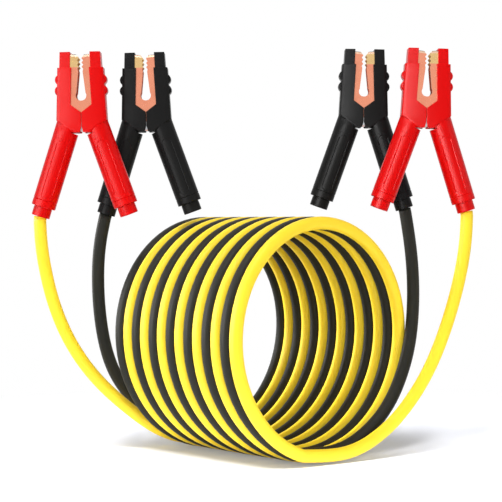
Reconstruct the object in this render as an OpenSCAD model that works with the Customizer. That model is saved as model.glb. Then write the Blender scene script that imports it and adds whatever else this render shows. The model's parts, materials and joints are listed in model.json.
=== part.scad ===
// Booster cable set: one yellow and one black battery cable wound together into a standing
// coil, with a sprung clamp on each of the four ends. Red clamps are on the yellow cable.
// Millimetres, +X along the row of clamps, +Y from front to back, +Z up.
// The origin is on the floor, under the middle of the set.

/* [Cable] */
// Outside diameter of each cable
cable_d = 12; // [11:0.5:12]
// Mean diameter of the coil
coil_mean_d = 215; // [211:1:217]
// Whole turns of each cable in the coil
coil_turns = 7; // [5:1:7]
// Spacing of neighbouring strands along the coil's axis
strand_pitch = 13; // [13:0.1:13.4]
// Turn of the coil's axis away from +Y
coil_yaw = 40.5; // [38:0.5:43]

/* [Clamp] */
// Angle between each handle and the clamp's middle line
handle_angle = 18.6; // [18:0.1:19.4]
// Outside diameter of a handle
handle_d = 23; // [22.6:0.1:23.2]
// Length of a handle below the body's bottom edge
handle_l = 72.8; // [68:0.4:76]
// Depth of the plastic body, front to back
body_depth = 23.6; // [23.4:0.1:24]
// Opening travel of the sprung jaw in degrees
jaw_travel = 28; // [20:1:28]

/* [Jaws] */
// Gap between facing tooth tips when the clamp is shut
tooth_gap = 2.8; // [2.4:0.1:3.2]
// Depth of a tooth
tooth_depth = 1.2; // [1:0.1:1.4]
// Pairs of teeth at the tip
tooth_count = 3; // [2:1:3]
// Thickness of the jaw sheet
jaw_t = 1.2; // [1:0.1:1.2]
// Diameter of the hinge pin
pin_d = 5; // [4.6:0.1:5]

/* [Spring] */
// Full curls of the torsion spring
spring_curls = 4; // [3:1:4]
// Diameter of the spring wire
spring_wire_d = 1.5; // [1.3:0.1:1.5]

/* [Hidden] */
$fn = 64;

// Clamps: name, side (-1 left, 1 right), hinge centre, outward lean in degrees
clamps = [
    ["red_left", -1, [-162.2, -20, 310.7], 1.4],
    ["black_left", -1, [-103.4, 10, 313.1], 1.6],
    ["black_right", 1, [105.2, 30, 318.3], 1],
    ["red_right", 1, [162.6, 0, 316.1], 1.7]
];
clamp_parts = [
    "cable_grip", "free_grip", "cable_jaw", "free_jaw", "contact_plate", "pivot_pin", "spring",
    "crimp_barrel", "conductor", "cable_end", "cable_bush", "end_plug"
];
cable_parts = [
    "yellow_coil", "yellow_left_lead", "yellow_right_lead",
    "black_coil", "black_left_lead", "black_right_lead"
];

red_plastic = "#e3201c";
black_plastic = "#1d1d1f";
yellow_sheath = "#f5d90a";
black_sheath = "#232325";
copper = "#d98a5f";
brass = "#d9b566";
steel = "#b9bcc0";

// ---- Coil ----
// Corner radius of a ring that has the cable's own cross-section area
function ring_r(sides) = cable_d / 2 * sqrt(2 * PI / (sides * sin(360 / sides)));
strand_sides = 6;
strand_r = ring_r(strand_sides);
loop_rings = 24;
floor_cut = cable_d / 10;  // flat that the cable's own weight presses on it
coil_r = coil_mean_d / 2;
floor_w = 600;            // wider and taller than the set
coil_centre = [6, 0, coil_r + strand_r - floor_cut];
coil_axis = [-sin(coil_yaw), cos(coil_yaw), 0];
coil_side = [-cos(coil_yaw), -sin(coil_yaw), 0];
up = [0, 0, 1];
strand_count = 2;
turn_pitch = strand_count * strand_pitch;
// The two strands together are one strand pitch longer than the turns of one
coil_l = coil_turns * turn_pitch + strand_pitch;

// ---- Leads: points between the coil's end and the clamp, bottom to top ----
lead_sides = 12;
lead_r = ring_r(lead_sides);
lead_steps = 2;
straight_l = cable_d;
yellow_left_route = [
    [-77, 43, 10.1], [-101, 26.5, 23.2], [-131.2, 10.6, 49.9], [-151.7, 1.5, 70.5],
    [-168.4, -5.9, 93.9], [-181.3, -10.4, 118.1], [-192.1, -14.1, 148.1],
    [-198.8, -17, 179.3], [-202.5, -20, 205.4]
];
yellow_right_route = [
    [97, -53, 11.1], [117.4, -39.6, 22.6], [138.1, -28.9, 41.2], [160.2, -18.9, 72.3],
    [171.3, -13.8, 94.4], [180.5, -9.6, 117.5], [190.2, -6.2, 147.7], [197.8, -2.6, 178.9],
    [202.3, 0, 207.2]
];
black_left_route = [
    [-85, 53, 15.1], [-103.8, 40.6, 32.3], [-120.8, 32.9, 50.3], [-134.3, 26.9, 68],
    [-142.6, 21.8, 90.1], [-147.4, 17.6, 113.3], [-150.8, 14.2, 146.3], [-151, 11.6, 179.3],
    [-148.9, 10, 205.2]
];
black_right_route = [
    [89, -43, 13.1], [107.3, -31, 25.9], [125.4, -19.5, 44.8], [138.1, -9, 71.1],
    [145.9, -2.5, 93.2], [150.3, 4, 116.3], [153.1, 14, 148], [153, 24, 180.8],
    [150.2, 30, 209]
];

// ---- Clamp, seen from the front with the hinge at the origin and the free half at +X ----
hinge_h = 5.5;            // hinge above the body's bottom edge
seam = 0.2;               // half of the gap between the two halves
notch_half_angle = jaw_travel / 2 + 0.5;
cover_top = 55.3;         // top of the wide part of the body
tip_top = 70;
cover_top_w = 21.5;       // half widths of the body
cover_low_w = 23.6;
cover_low = 6.2;
window_top_w = 8.3;       // half widths of the window between the halves
window_low_w = 9.8;
window_low = 20.4;
seam_top = 13.3;
chin_w = 8.4;             // half width of the level bottom edge
edge_from = -10;          // lower end and length of the cut that rounds an edge
edge_l = 100;
tip_out_top = 18.9;
tip_out_low = 19.7;
tip_in_top = 9.1;
tip_in_low = 9.6;
tip_depth = 20.4;
wall = 3;
edge_r = 3;               // rounding of the body's outer edges
cavity_depth = body_depth - 2 * wall;
cover_taper = (cover_low_w - cover_top_w) / (cover_top - cover_low);

// Handle: its axis starts under the body's bottom edge and runs down and out
handle_x = 15.7;
handle_start = 8;         // run of the handle up into the body
bore_d = 16.8;
collar_d = 17.4;
collar_l = 9.3;
spigot_l = 10;
spigot_play = 0.05;
groove_at = 6.5;          // ring groove above the handle's end
groove_w = 0.9;
groove_t = 0.5;

// Finger bumps on the outer wall
bump_d = 10.5;
bump_depth = 14;
bumps = [[19.1, 44.2], [19.5, 33.9]];

// Metal jaws: outer channel on the cable side, inner channel on the free side
jaw_clear = 0.3;
outer_jaw_w = cavity_depth / 2 - jaw_clear;
inner_jaw_w = outer_jaw_w - jaw_t - jaw_clear;
jaw_top = 68.3;
jaw_low = 8;
jaw_slope = 0.0544;       // follows the inside of the cover's outer wall
jaw_top_u = 16.6;
drop_r = 4.9;             // round end of the teardrop mouth
drop_z = 29.2;
mouth_w = 4.2;            // half width where the straight sides meet the round end
mouth_z = 31.7;
neck_w = 2;
neck_z = 51.7;
tooth_pitch = 4;
tooth_top = 66;
lobe_r = 13;              // overlapping knuckles round the hinge
lobe_at = [1, 12];
ear_r = 5.2;
pocket_r = 7.5;           // room for ears and spring in the covers
plate_low = 55.6;         // lower edge of the contact plate
plate_back = 15;
tongue_w = 10;
tongue_in = 4.9;          // inner face of the tongue, off the handle's axis
tongue_from = -3.5;
tongue_l = 47;
web_foot = -0.4;

over = 1;                 // how far a cut runs past what it cuts
play = 0.1;               // room left round the metal
room_top = jaw_top + play;
room_low = 6;
room_foot = 12;
room_step = 24;           // above this the free half's walls close in
free_room_w = 11;
slot_low = 10;
slot_play = 0.3;
tongue_slot = [[12, 8], [12, -6], [22.2, -6], [21.2, 8]];
bore_start = 12;          // run of the handle's bore up into the body

pin_r = pin_d / 2;
pin_play = 0.05;
head_r = 4;
head_t = 1;
head_pocket_r = 4.6;

spring_r = 3.75;
spring_pitch = 2.1;
curl_rings = 8;
leg_l = 24.1;
leg_drop = 36.87;         // slope of both legs below level

conductor_r = 3.8;
barrel_from = 30;
barrel_to = 46;
conductor_from = 31;
sheath_end = 50;

function unit(v) = v / norm(v);
function handle_point(s) = [handle_x + s * sin(handle_angle), -hinge_h - s * cos(handle_angle)];
function beside_handle(s, off) = handle_point(s) + off * [cos(handle_angle), sin(handle_angle)];
function cover_u(z) = cover_top_w + (cover_top - z) * cover_taper;
function jaw_u(z) = jaw_top_u + (tip_top - z) * jaw_slope;

// A point given in a clamp's own axes, in the set's axes
function in_set(clamp, p) =
    let (lean = clamp[3] * clamp[1])
    let (x = -clamp[1] * p[0])
    clamp[2] + [x * cos(lean) + p[2] * sin(lean), -clamp[1] * p[1], p[2] * cos(lean) - x * sin(lean)];

// ---- Tubes swept through rings; a ring is [centre, first side vector, second side vector] ----
function ring_points(rings, r, sides) = [
    for (ring = rings) for (k = [0:sides - 1])
        ring[0] + r * (cos(360 * k / sides) * ring[1] + sin(360 * k / sides) * ring[2])
];

function tube_faces(rings, sides) = concat(
    [for (k = [1:sides - 2]) [0, k, k + 1]],
    [for (i = [0:rings - 2]) for (k = [0:sides - 1])
        [i * sides + k, (i + 1) * sides + k, (i + 1) * sides + (k + 1) % sides]],
    [for (i = [0:rings - 2]) for (k = [0:sides - 1])
        [i * sides + k, (i + 1) * sides + (k + 1) % sides, i * sides + (k + 1) % sides]],
    [for (k = [1:sides - 2]) [for (j = [0, k + 1, k]) (rings - 1) * sides + j]]
);

module tube(rings, r, sides) {
    polyhedron(points = ring_points(rings, r, sides), faces = tube_faces(len(rings), sides));
}

// Keeps what is above the floor, which presses a narrow flat on the cable
module above_floor() {
    intersection() {
        children();
        translate([-floor_w / 2, -floor_w / 2, 0]) cube(floor_w);
    }
}

// Least gap between stretches of a tube that are a whole loop apart
function least_gap(rings, r, loop) = min([
    for (i = [0:len(rings) - 1 - loop]) for (j = [i + loop:len(rings) - 1])
        norm(rings[i][0] - rings[j][0])
]) - 2 * r;

// ---- Coil strands ----
function strand_start(strand) = coil_centre + (strand * strand_pitch - coil_l / 2) * coil_axis;
function radial(a) = sin(a) * coil_side - cos(a) * up;
function strand_point(strand, a) =
    strand_start(strand) + coil_r * radial(a) + turn_pitch * a / 360 * coil_axis;
function strand_dir(a) =
    unit(2 * PI * coil_r * (sin(a) * up + cos(a) * coil_side) + turn_pitch * coil_axis);
function strand_ring(strand, a, run) =
    [strand_point(strand, a) + run * strand_dir(a), radial(a), cross(strand_dir(a), radial(a))];
coil_end = 360 * coil_turns;
ring_step = 360 / loop_rings;
// Rings start half a step up, so that each loop stands on a level run
function strand_rings(strand) = concat(
    [strand_ring(strand, 0, -straight_l), strand_ring(strand, 0, 0)],
    [for (a = [ring_step / 2:ring_step:coil_end - ring_step / 4]) strand_ring(strand, a, 0)],
    [strand_ring(strand, coil_end, 0), strand_ring(strand, coil_end, straight_l)]
);

module strand(index) {
    rings = strand_rings(index);
    echo(strand = index, least_gap_to_itself = least_gap(rings, strand_r, loop_rings - 2));
    above_floor() tube(rings, strand_r, strand_sides);
}

// ---- Leads ----
function lead_exit(clamp, run) =
    let (p = handle_point(handle_l + collar_l + run)) in_set(clamp, [-p[0], 0, p[1]]);
// Smooth curve through points b and c of four
function between(a, b, c, d, t) =
    b + t / 2 * (c - a) + t * t / 2 * (2 * a - 5 * b + 4 * c - d) + t * t * t / 2 * (3 * b - a - 3 * c + d);
function smooth(p) = concat(
    [for (i = [1:len(p) - 3]) for (k = [0:lead_steps - 1])
        between(p[i - 1], p[i], p[i + 1], p[i + 2], k / lead_steps)],
    [p[len(p) - 2]]
);
function lead_ring(p, i, first, last) =
    let (along = i == 0 ? first : i == len(p) - 1 ? last : unit(p[i + 1] - p[i - 1]))
    let (side = unit(cross(along, [0, 1, 0])))
    [p[i], side, cross(along, side)];

module lead(strand, at_end, route, clamp) {
    a = at_end ? coil_end : 0;
    away = at_end ? strand_dir(a) : -strand_dir(a);
    foot = strand_point(strand, a) + straight_l * away;
    exit_dir = unit(lead_exit(clamp, 0) - lead_exit(clamp, 1));
    path = smooth(concat(
        [foot - 2 * straight_l * away, foot],
        route,
        [lead_exit(clamp, 0), lead_exit(clamp, 0) + 2 * straight_l * exit_dir]
    ));
    rings = [for (i = [0:len(path) - 1]) lead_ring(path, i, away, exit_dir)];
    above_floor() tube(rings, lead_r, lead_sides);
}

module yellow_coil() { color(yellow_sheath) strand(0); }
module black_coil() { color(black_sheath) strand(1); }
module yellow_left_lead() { color(yellow_sheath) lead(0, true, yellow_left_route, clamps[0]); }
module black_left_lead() { color(black_sheath) lead(1, true, black_left_route, clamps[1]); }
module black_right_lead() { color(black_sheath) lead(1, false, black_right_route, clamps[2]); }
module yellow_right_lead() { color(yellow_sheath) lead(0, false, yellow_right_route, clamps[3]); }

// ---- Clamp helpers ----
// A front view outline, given its depth
module across(depth) {
    rotate([90, 0, 0]) linear_extrude(height = depth, center = true) children();
}

// A round bar along the hinge
module hinge_bar(at, r, depth) {
    translate([at[0], 0, at[1]]) rotate([90, 0, 0]) cylinder(h = depth, r = r, center = true);
}

// Things drawn along +Z land on the free handle's axis, running down from the body's bottom edge
module on_handle() {
    translate([handle_x, 0, -hinge_h]) rotate([0, 180 - handle_angle, 0]) children();
}

// The cable half is the free half seen from behind
module cable_half() {
    rotate([0, 0, 180]) children();
}

module outer_edge_cut(depth) {
    translate([cover_u(0), depth / 2, 0]) rotate([0, -atan(cover_taper), 0])
        translate([-edge_r, -edge_r, edge_from]) difference() {
            cube([2 * edge_r, 2 * edge_r, edge_l]);
            translate([0, 0, -over]) cylinder(h = edge_l + 2 * over, r = edge_r);
        }
}

module body_block() {
    difference() {
        across(body_depth) polygon([
            [seam, 0], [seam, seam_top], [window_low_w, window_low], [window_top_w, cover_top],
            [cover_top_w, cover_top], [cover_low_w, cover_low], [chin_w, -hinge_h],
            [seam + hinge_h * tan(notch_half_angle), -hinge_h]
        ]);
        outer_edge_cut(body_depth);
        mirror([0, 1, 0]) outer_edge_cut(body_depth);
    }
}

module tip_block() {
    across(tip_depth) polygon([
        [tip_in_low, cover_top - over], [tip_in_top, tip_top], [tip_out_top, tip_top],
        [tip_out_low, cover_top - over]
    ]);
}

module handle_tube() {
    on_handle() difference() {
        translate([0, 0, -handle_start]) cylinder(h = handle_l + handle_start, d = handle_d);
        translate([0, 0, handle_l - groove_at]) difference() {
            cylinder(h = groove_w, d = handle_d + 2 * over);
            translate([0, 0, -over]) cylinder(h = groove_w + 2 * over, d = handle_d - 2 * groove_t);
        }
    }
}

// Room inside a half; the free half closes in beside its narrower jaw
module grip_cavity(narrow) {
    across(cavity_depth) polygon([
        [-over, 0], [-over, room_top], [narrow ? free_room_w : jaw_u(room_top), room_top],
        if (narrow) [free_room_w, room_step],
        [jaw_u(room_step), room_step], [jaw_u(room_low), room_low], [room_foot, 0]
    ]);
    across(2 * inner_jaw_w + play) polygon([
        [-over, slot_low], [-over, room_top], [jaw_u(room_top), room_top], [jaw_u(slot_low), slot_low]
    ]);
    across(tongue_w + 2 * slot_play) polygon(tongue_slot);
    hinge_bar([0, 0], pocket_r, cavity_depth);
    hinge_bar([0, 0], head_pocket_r, cavity_depth + 2 * head_t);
    on_handle() translate([0, 0, -bore_start]) cylinder(h = bore_start + handle_l + over, d = bore_d);
}

module grip(narrow) {
    difference() {
        union() {
            body_block();
            tip_block();
            for (b = bumps) hinge_bar(b, bump_d / 2, bump_depth);
            handle_tube();
        }
        grip_cavity(narrow);
    }
}

// Side wall of a jaw: teeth, neck and the half of the teardrop mouth
module jaw_wall() {
    difference() {
        polygon(concat(
            [[jaw_u(jaw_top), jaw_top], [tooth_gap / 2 + tooth_depth, jaw_top]],
            [for (k = [0:tooth_count - 1]) each [
                [tooth_gap / 2 + tooth_depth, tooth_top - k * tooth_pitch],
                [tooth_gap / 2, tooth_top - (k + 0.5) * tooth_pitch]
            ]],
            [[tooth_gap / 2 + tooth_depth, tooth_top - tooth_count * tooth_pitch],
             [neck_w, neck_z], [mouth_w, mouth_z], [0, mouth_z], [0, jaw_low], [jaw_u(jaw_low), jaw_low]]
        ));
        translate([0, drop_z]) circle(r = drop_r);
    }
}

// Both walls of a jaw, with its outer faces half_w from the middle
module jaw_walls(half_w) {
    for (s = [-1, 1]) translate([0, s * (half_w - jaw_t / 2), 0]) {
        across(jaw_t) jaw_wall();
        hinge_bar(lobe_at, lobe_r, jaw_t);
        hinge_bar([0, 0], ear_r, jaw_t);
    }
}

// Back of a jaw, and the tongue that runs on into the handle
module jaw_back(half_w) {
    across(2 * half_w) polygon([
        [jaw_u(jaw_top), jaw_top], [jaw_u(jaw_low), jaw_low],
        [jaw_u(jaw_low) - jaw_t, jaw_low], [jaw_u(jaw_top) - jaw_t, jaw_top]
    ]);
    across(tongue_w) polygon([
        [jaw_u(jaw_low + 1), jaw_low + 1], [jaw_u(web_foot), web_foot],
        beside_handle(tongue_l, tongue_in + jaw_t), beside_handle(tongue_l, tongue_in),
        beside_handle(tongue_from, tongue_in), [jaw_u(jaw_low + 1) - jaw_t, jaw_low + 1]
    ]);
}

module jaw(half_w, hole_r) {
    difference() {
        union() {
            jaw_walls(half_w);
            jaw_back(half_w);
        }
        hinge_bar([0, 0], hole_r, body_depth);
        hinge_bar([0, drop_z], drop_r, body_depth);
    }
}

// The part of the tip that the contact plate takes up
module tip_zone(from_u, to_u) {
    across(body_depth) polygon([
        [from_u, plate_low], [from_u, jaw_top + over], [to_u, jaw_top + over], [to_u, plate_low]
    ]);
}

// ---- Clamp pieces ----
module cable_grip(shade) { color(shade) cable_half() grip(false); }

module free_grip(shade) { color(shade) grip(true); }

module cable_jaw() {
    color(copper) cable_half() difference() {
        jaw(outer_jaw_w, pin_r);
        tip_zone(-over, plate_back);
    }
}

module free_jaw() { color(copper) jaw(inner_jaw_w, pin_r + pin_play); }

module contact_plate() {
    color(brass) cable_half() {
        intersection() {
            jaw_walls(outer_jaw_w);
            tip_zone(-over, plate_back);
        }
        across(2 * outer_jaw_w) polygon([
            [plate_back, plate_low], [plate_back, jaw_top],
            [plate_back - jaw_t, jaw_top], [plate_back - jaw_t, plate_low]
        ]);
    }
}

module pivot_pin() {
    color(steel) {
        hinge_bar([0, 0], pin_r, 2 * outer_jaw_w);
        for (s = [-1, 1]) translate([0, s * (outer_jaw_w + head_t / 2), 0])
            hinge_bar([0, 0], head_r, head_t);
    }
}

// Torsion spring: curls round the pin, and a straight leg down into each handle
function spring_ring(a, y, run, way) =
    let (out = [cos(a), 0, sin(a)])
    let (along = [sin(a), 0, -cos(a)])
    [spring_r * out + [0, y, 0] + run * way * along, out, cross(along, out)];
leg_top = 90 - leg_drop;
spring_sweep = 360 * spring_curls + 180 - 2 * leg_top;
spring_steps = round(spring_sweep * curl_rings / 360);
spring_half = spring_pitch * spring_sweep / 720;
spring_rings = concat(
    [spring_ring(180 - leg_top, spring_half, leg_l, -1)],
    [for (k = [0:spring_steps])
        spring_ring(180 - leg_top - k * spring_sweep / spring_steps,
            spring_half - 2 * spring_half * k / spring_steps, 0, 1)],
    [spring_ring(leg_top, -spring_half, leg_l, 1)]
);

module spring() {
    echo(spring_gap_to_itself = least_gap(
        [for (k = [1:len(spring_rings) - 2]) spring_rings[k]], spring_wire_d / 2, curl_rings - 1));
    color(steel) tube(spring_rings, spring_wire_d / 2, strand_sides);
}

module crimp_barrel() {
    color(copper) cable_half() on_handle() translate([0, 0, barrel_from]) difference() {
        cylinder(h = barrel_to - barrel_from, r = tongue_in);
        translate([0, 0, -over]) cylinder(h = barrel_to - barrel_from + 2 * over, r = conductor_r);
    }
}

module conductor() {
    color(copper) cable_half() on_handle() translate([0, 0, conductor_from])
        cylinder(h = sheath_end - conductor_from, r = conductor_r);
}

module cable_end(shade) {
    color(shade) cable_half() on_handle() translate([0, 0, sheath_end])
        cylinder(h = handle_l + collar_l - sheath_end, d = cable_d);
}

module cable_bush(shade) {
    color(shade) cable_half() on_handle() difference() {
        union() {
            translate([0, 0, handle_l]) cylinder(h = collar_l, d = collar_d);
            translate([0, 0, handle_l - spigot_l]) cylinder(h = spigot_l, r = bore_d / 2 - spigot_play);
        }
        cylinder(h = handle_l + collar_l + over, d = cable_d);
    }
}

module end_plug(shade) {
    color(shade) on_handle() difference() {
        union() {
            translate([0, 0, handle_l]) cylinder(h = collar_l, d = collar_d);
            translate([0, 0, handle_l - spigot_l]) cylinder(h = spigot_l, r = bore_d / 2 - spigot_play);
        }
        cylinder(h = handle_l + collar_l - wall, d = bore_d - 2 * wall);
    }
}

module on_clamp(clamp) {
    translate(clamp[2]) rotate([0, clamp[3] * clamp[1], 0])
        rotate([0, 0, clamp[1] > 0 ? 180 : 0]) children();
}

function is_red(clamp) = clamp[0] == "red_left" || clamp[0] == "red_right";
function grip_shade(clamp) = is_red(clamp) ? red_plastic : black_plastic;
function sheath_shade(clamp) = is_red(clamp) ? yellow_sheath : black_sheath;

yellow_coil();
yellow_left_lead();
yellow_right_lead();
black_coil();
black_left_lead();
black_right_lead();
for (c = clamps) on_clamp(c) {
    cable_grip(grip_shade(c));
    free_grip(grip_shade(c));
    cable_jaw();
    free_jaw();
    contact_plate();
    pivot_pin();
    spring();
    crimp_barrel();
    conductor();
    cable_end(sheath_shade(c));
    cable_bush(grip_shade(c));
    end_plug(grip_shade(c));
}
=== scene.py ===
import json
import math

import bmesh
import bpy
from mathutils import Matrix, Vector

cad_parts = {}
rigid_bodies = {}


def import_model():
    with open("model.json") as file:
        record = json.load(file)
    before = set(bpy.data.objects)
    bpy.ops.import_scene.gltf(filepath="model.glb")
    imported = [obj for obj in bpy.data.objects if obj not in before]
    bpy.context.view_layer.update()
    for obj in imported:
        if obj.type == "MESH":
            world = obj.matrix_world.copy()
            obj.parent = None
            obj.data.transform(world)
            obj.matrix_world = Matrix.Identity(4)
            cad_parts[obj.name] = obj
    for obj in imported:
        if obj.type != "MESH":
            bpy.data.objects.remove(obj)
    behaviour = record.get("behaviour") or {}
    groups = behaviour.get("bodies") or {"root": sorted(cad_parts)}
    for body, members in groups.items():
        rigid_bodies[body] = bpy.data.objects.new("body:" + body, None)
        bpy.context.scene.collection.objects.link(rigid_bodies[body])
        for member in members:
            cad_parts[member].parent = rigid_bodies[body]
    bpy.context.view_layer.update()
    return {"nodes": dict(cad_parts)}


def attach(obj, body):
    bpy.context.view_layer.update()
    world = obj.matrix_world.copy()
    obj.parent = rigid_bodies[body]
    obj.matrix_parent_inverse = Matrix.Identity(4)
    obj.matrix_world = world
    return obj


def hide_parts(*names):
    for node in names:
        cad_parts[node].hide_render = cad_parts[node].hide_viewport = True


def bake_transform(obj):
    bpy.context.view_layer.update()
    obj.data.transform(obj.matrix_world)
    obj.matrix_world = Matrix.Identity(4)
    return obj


# Booster cable set: two cables wound together into a standing coil, and a sprung clamp on each end.
# Clamps are modelled once in millimetres, seen from the front with the hinge at the origin and the
# free half towards +X, and are then copied to their four places in metres.

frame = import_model()
mm = 0.001

clamps = {  # lean is in degrees, outward
    "red_left": {"side": -1, "hinge": (-162.2, -20, 310.7), "lean": 1.4, "cable": "yellow"},
    "black_left": {"side": -1, "hinge": (-103.4, 10, 313.1), "lean": 1.6, "cable": "black"},
    "black_right": {"side": 1, "hinge": (105.2, 30, 318.3), "lean": 1.0, "cable": "black"},
    "red_right": {"side": 1, "hinge": (162.6, 0, 316.1), "lean": 1.7, "cable": "yellow"},
}
handle = {  # x and z are where its axis leaves the body, angle is how far it leans out
    "angle": 18.6, "x": 15.7, "z": -5.5, "length": 72.8, "collar": 9.3,
}
view = {"at": (-0.0036, -1.5872, 0.2209), "pitchDown": 0.985, "lens": 119.2, "sensor": 36.0}


def addCamera():
    lens = bpy.data.cameras.new("camera")
    lens.lens = view["lens"]
    lens.sensor_width = view["sensor"]
    camera = bpy.data.objects.new("camera", lens)
    camera.location = view["at"]
    camera.rotation_euler = (math.radians(90 - view["pitchDown"]), 0, 0)
    bpy.context.scene.collection.objects.link(camera)
    bpy.context.scene.camera = camera


addCamera()
print("camera set")


def clampPlace(name):
    clamp = clamps[name]
    where = Matrix.Translation(Vector(clamp["hinge"]) * mm)
    where = where @ Matrix.Rotation(math.radians(clamp["lean"] * clamp["side"]), 4, "Y")
    if clamp["side"] > 0:
        where = where @ Matrix.Rotation(math.pi, 4, "Z")
    return where @ Matrix.Scale(mm, 4)


halfTurn = Matrix.Rotation(math.pi, 4, "Z")  # the cable half is the free half seen from behind


def handlePoint(along, out=0.0, depth=0.0):
    slope = math.radians(handle["angle"])
    down = Vector((math.sin(slope), 0, -math.cos(slope)))
    side = Vector((math.cos(slope), 0, math.sin(slope)))
    return Vector((handle["x"], 0, handle["z"])) + along * down + out * side + Vector((0, depth, 0))


def cableExit(name, along):
    return clampPlace(name) @ halfTurn @ handlePoint(handle["length"] + handle["collar"] + along)


cable = {
    "diameter": 0.012,
    "sides": 32,
    "coilRadius": 0.1075,
    "coilCentre": (0.006, 0.0, 0.1128978),
    "yaw": 40.5,
    "turns": 7,
    "strandPitch": 0.013,
    "ringsPerTurn": 80,
    "leadStep": 0.004,
    "nearby": 0.01,  # the share of a turn over which the coil's direction is taken
    "leadIn": 0.012,  # along the coil before the lead leaves it
    "guide": 0.024,  # how far the points that only steer the curve lie beyond its ends
    "spanSteps": 8,
    "smoothing": 40,
    "easedRings": 4,  # rings of the coil that the smoothing may move
}
routes = {  # points that each lead passes on its way up to its clamp
    "red_left": [(-0.077, 0.043, 0.0101), (-0.101, 0.0265, 0.0232), (-0.1312, 0.0106, 0.0499),
                 (-0.1517, 0.0015, 0.0705), (-0.1684, -0.0059, 0.0939), (-0.1813, -0.0104, 0.1181),
                 (-0.1921, -0.0141, 0.1481), (-0.1988, -0.017, 0.1793), (-0.2025, -0.02, 0.2054)],
    "red_right": [(0.097, -0.053, 0.0111), (0.1174, -0.0396, 0.0226), (0.1381, -0.0289, 0.0412),
                  (0.1602, -0.0189, 0.0723), (0.1713, -0.0138, 0.0944), (0.1805, -0.0096, 0.1175),
                  (0.1902, -0.0062, 0.1477), (0.1978, -0.0026, 0.1789), (0.2023, 0.0, 0.2072)],
    "black_left": [(-0.085, 0.053, 0.0151), (-0.1038, 0.0406, 0.0323), (-0.1208, 0.0329, 0.0503),
                   (-0.1343, 0.0269, 0.068), (-0.1426, 0.0218, 0.0901), (-0.1474, 0.0176, 0.1133),
                   (-0.1508, 0.0142, 0.1463), (-0.151, 0.0116, 0.1793), (-0.1489, 0.01, 0.2052)],
    "black_right": [(0.089, -0.043, 0.0131), (0.1073, -0.031, 0.0259), (0.1254, -0.0195, 0.0448),
                    (0.1381, -0.009, 0.0711), (0.1459, -0.0025, 0.0932), (0.1503, 0.004, 0.1163),
                    (0.1531, 0.014, 0.148), (0.153, 0.024, 0.1808), (0.1502, 0.03, 0.209)],
}


def strandPoint(strand, turn):
    yaw = math.radians(cable["yaw"])
    axis = Vector((-math.sin(yaw), math.cos(yaw), 0))
    side = Vector((-math.cos(yaw), -math.sin(yaw), 0))
    length = (2 * cable["turns"] + 1) * cable["strandPitch"]
    along = strand * cable["strandPitch"] - length / 2 + 2 * cable["strandPitch"] * turn
    angle = 2 * math.pi * turn
    out = math.sin(angle) * side - math.cos(angle) * Vector((0, 0, 1))
    return Vector(cable["coilCentre"]) + cable["coilRadius"] * out + along * axis


def throughPoints(points, steps):
    # A smooth curve through the points; the first and the last only steer it
    made = []
    for i in range(1, len(points) - 2):
        a, b, c, d = points[i - 1:i + 3]
        for k in range(steps):
            t = k / steps
            made.append(b + t / 2 * (c - a) + t * t / 2 * (2 * a - 5 * b + 4 * c - d)
                        + t ** 3 / 2 * (3 * b - a - 3 * c + d))
    made.append(points[-2])
    return made


def leadLine(strand, turn, name):
    nearby = cable["nearby"] if turn == 0 else -cable["nearby"]
    foot = strandPoint(strand, turn)
    away = (foot - strandPoint(strand, turn + nearby)).normalized()
    tip = cableExit(name, 0)
    upward = (tip - cableExit(name, 1)).normalized()
    points = [foot - cable["guide"] * away, foot + cable["leadIn"] * away]
    points += [Vector(p) for p in routes[name]] + [tip, tip + cable["guide"] * upward]
    return throughPoints(points, cable["spanSteps"])


def evenly(points, step):
    # The same line again with points about a step apart
    lengths = [0.0]
    for a, b in zip(points, points[1:]):
        lengths.append(lengths[-1] + (b - a).length)
    count = max(2, round(lengths[-1] / step))
    made, at = [], 0
    for i in range(count + 1):
        want = lengths[-1] * i / count
        while at < len(points) - 2 and lengths[at + 1] < want:
            at += 1
        share = (want - lengths[at]) / max(lengths[at + 1] - lengths[at], 1e-9)
        made.append(points[at].lerp(points[at + 1], min(1.0, share)))
    return made


def cableLine(strand, startClamp, endClamp):
    startLead = list(reversed(evenly(leadLine(strand, 0, startClamp), cable["leadStep"])))
    endLead = evenly(leadLine(strand, cable["turns"], endClamp), cable["leadStep"])
    rings = cable["turns"] * cable["ringsPerTurn"]
    coil = [strandPoint(strand, cable["turns"] * i / rings) for i in range(rings + 1)]
    line = startLead + coil + endLead
    fixedFrom = len(startLead) + cable["easedRings"]  # the coil keeps its turns, the leads are eased in
    fixedTo = len(startLead) + len(coil) - cable["easedRings"]
    for _ in range(cable["smoothing"]):
        eased = [p.copy() for p in line]
        for i in range(2, len(line) - 2):
            if i < fixedFrom or i > fixedTo:
                eased[i] = line[i] * 0.5 + (line[i - 1] + line[i + 1]) * 0.25
        line = eased
    return line


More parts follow.
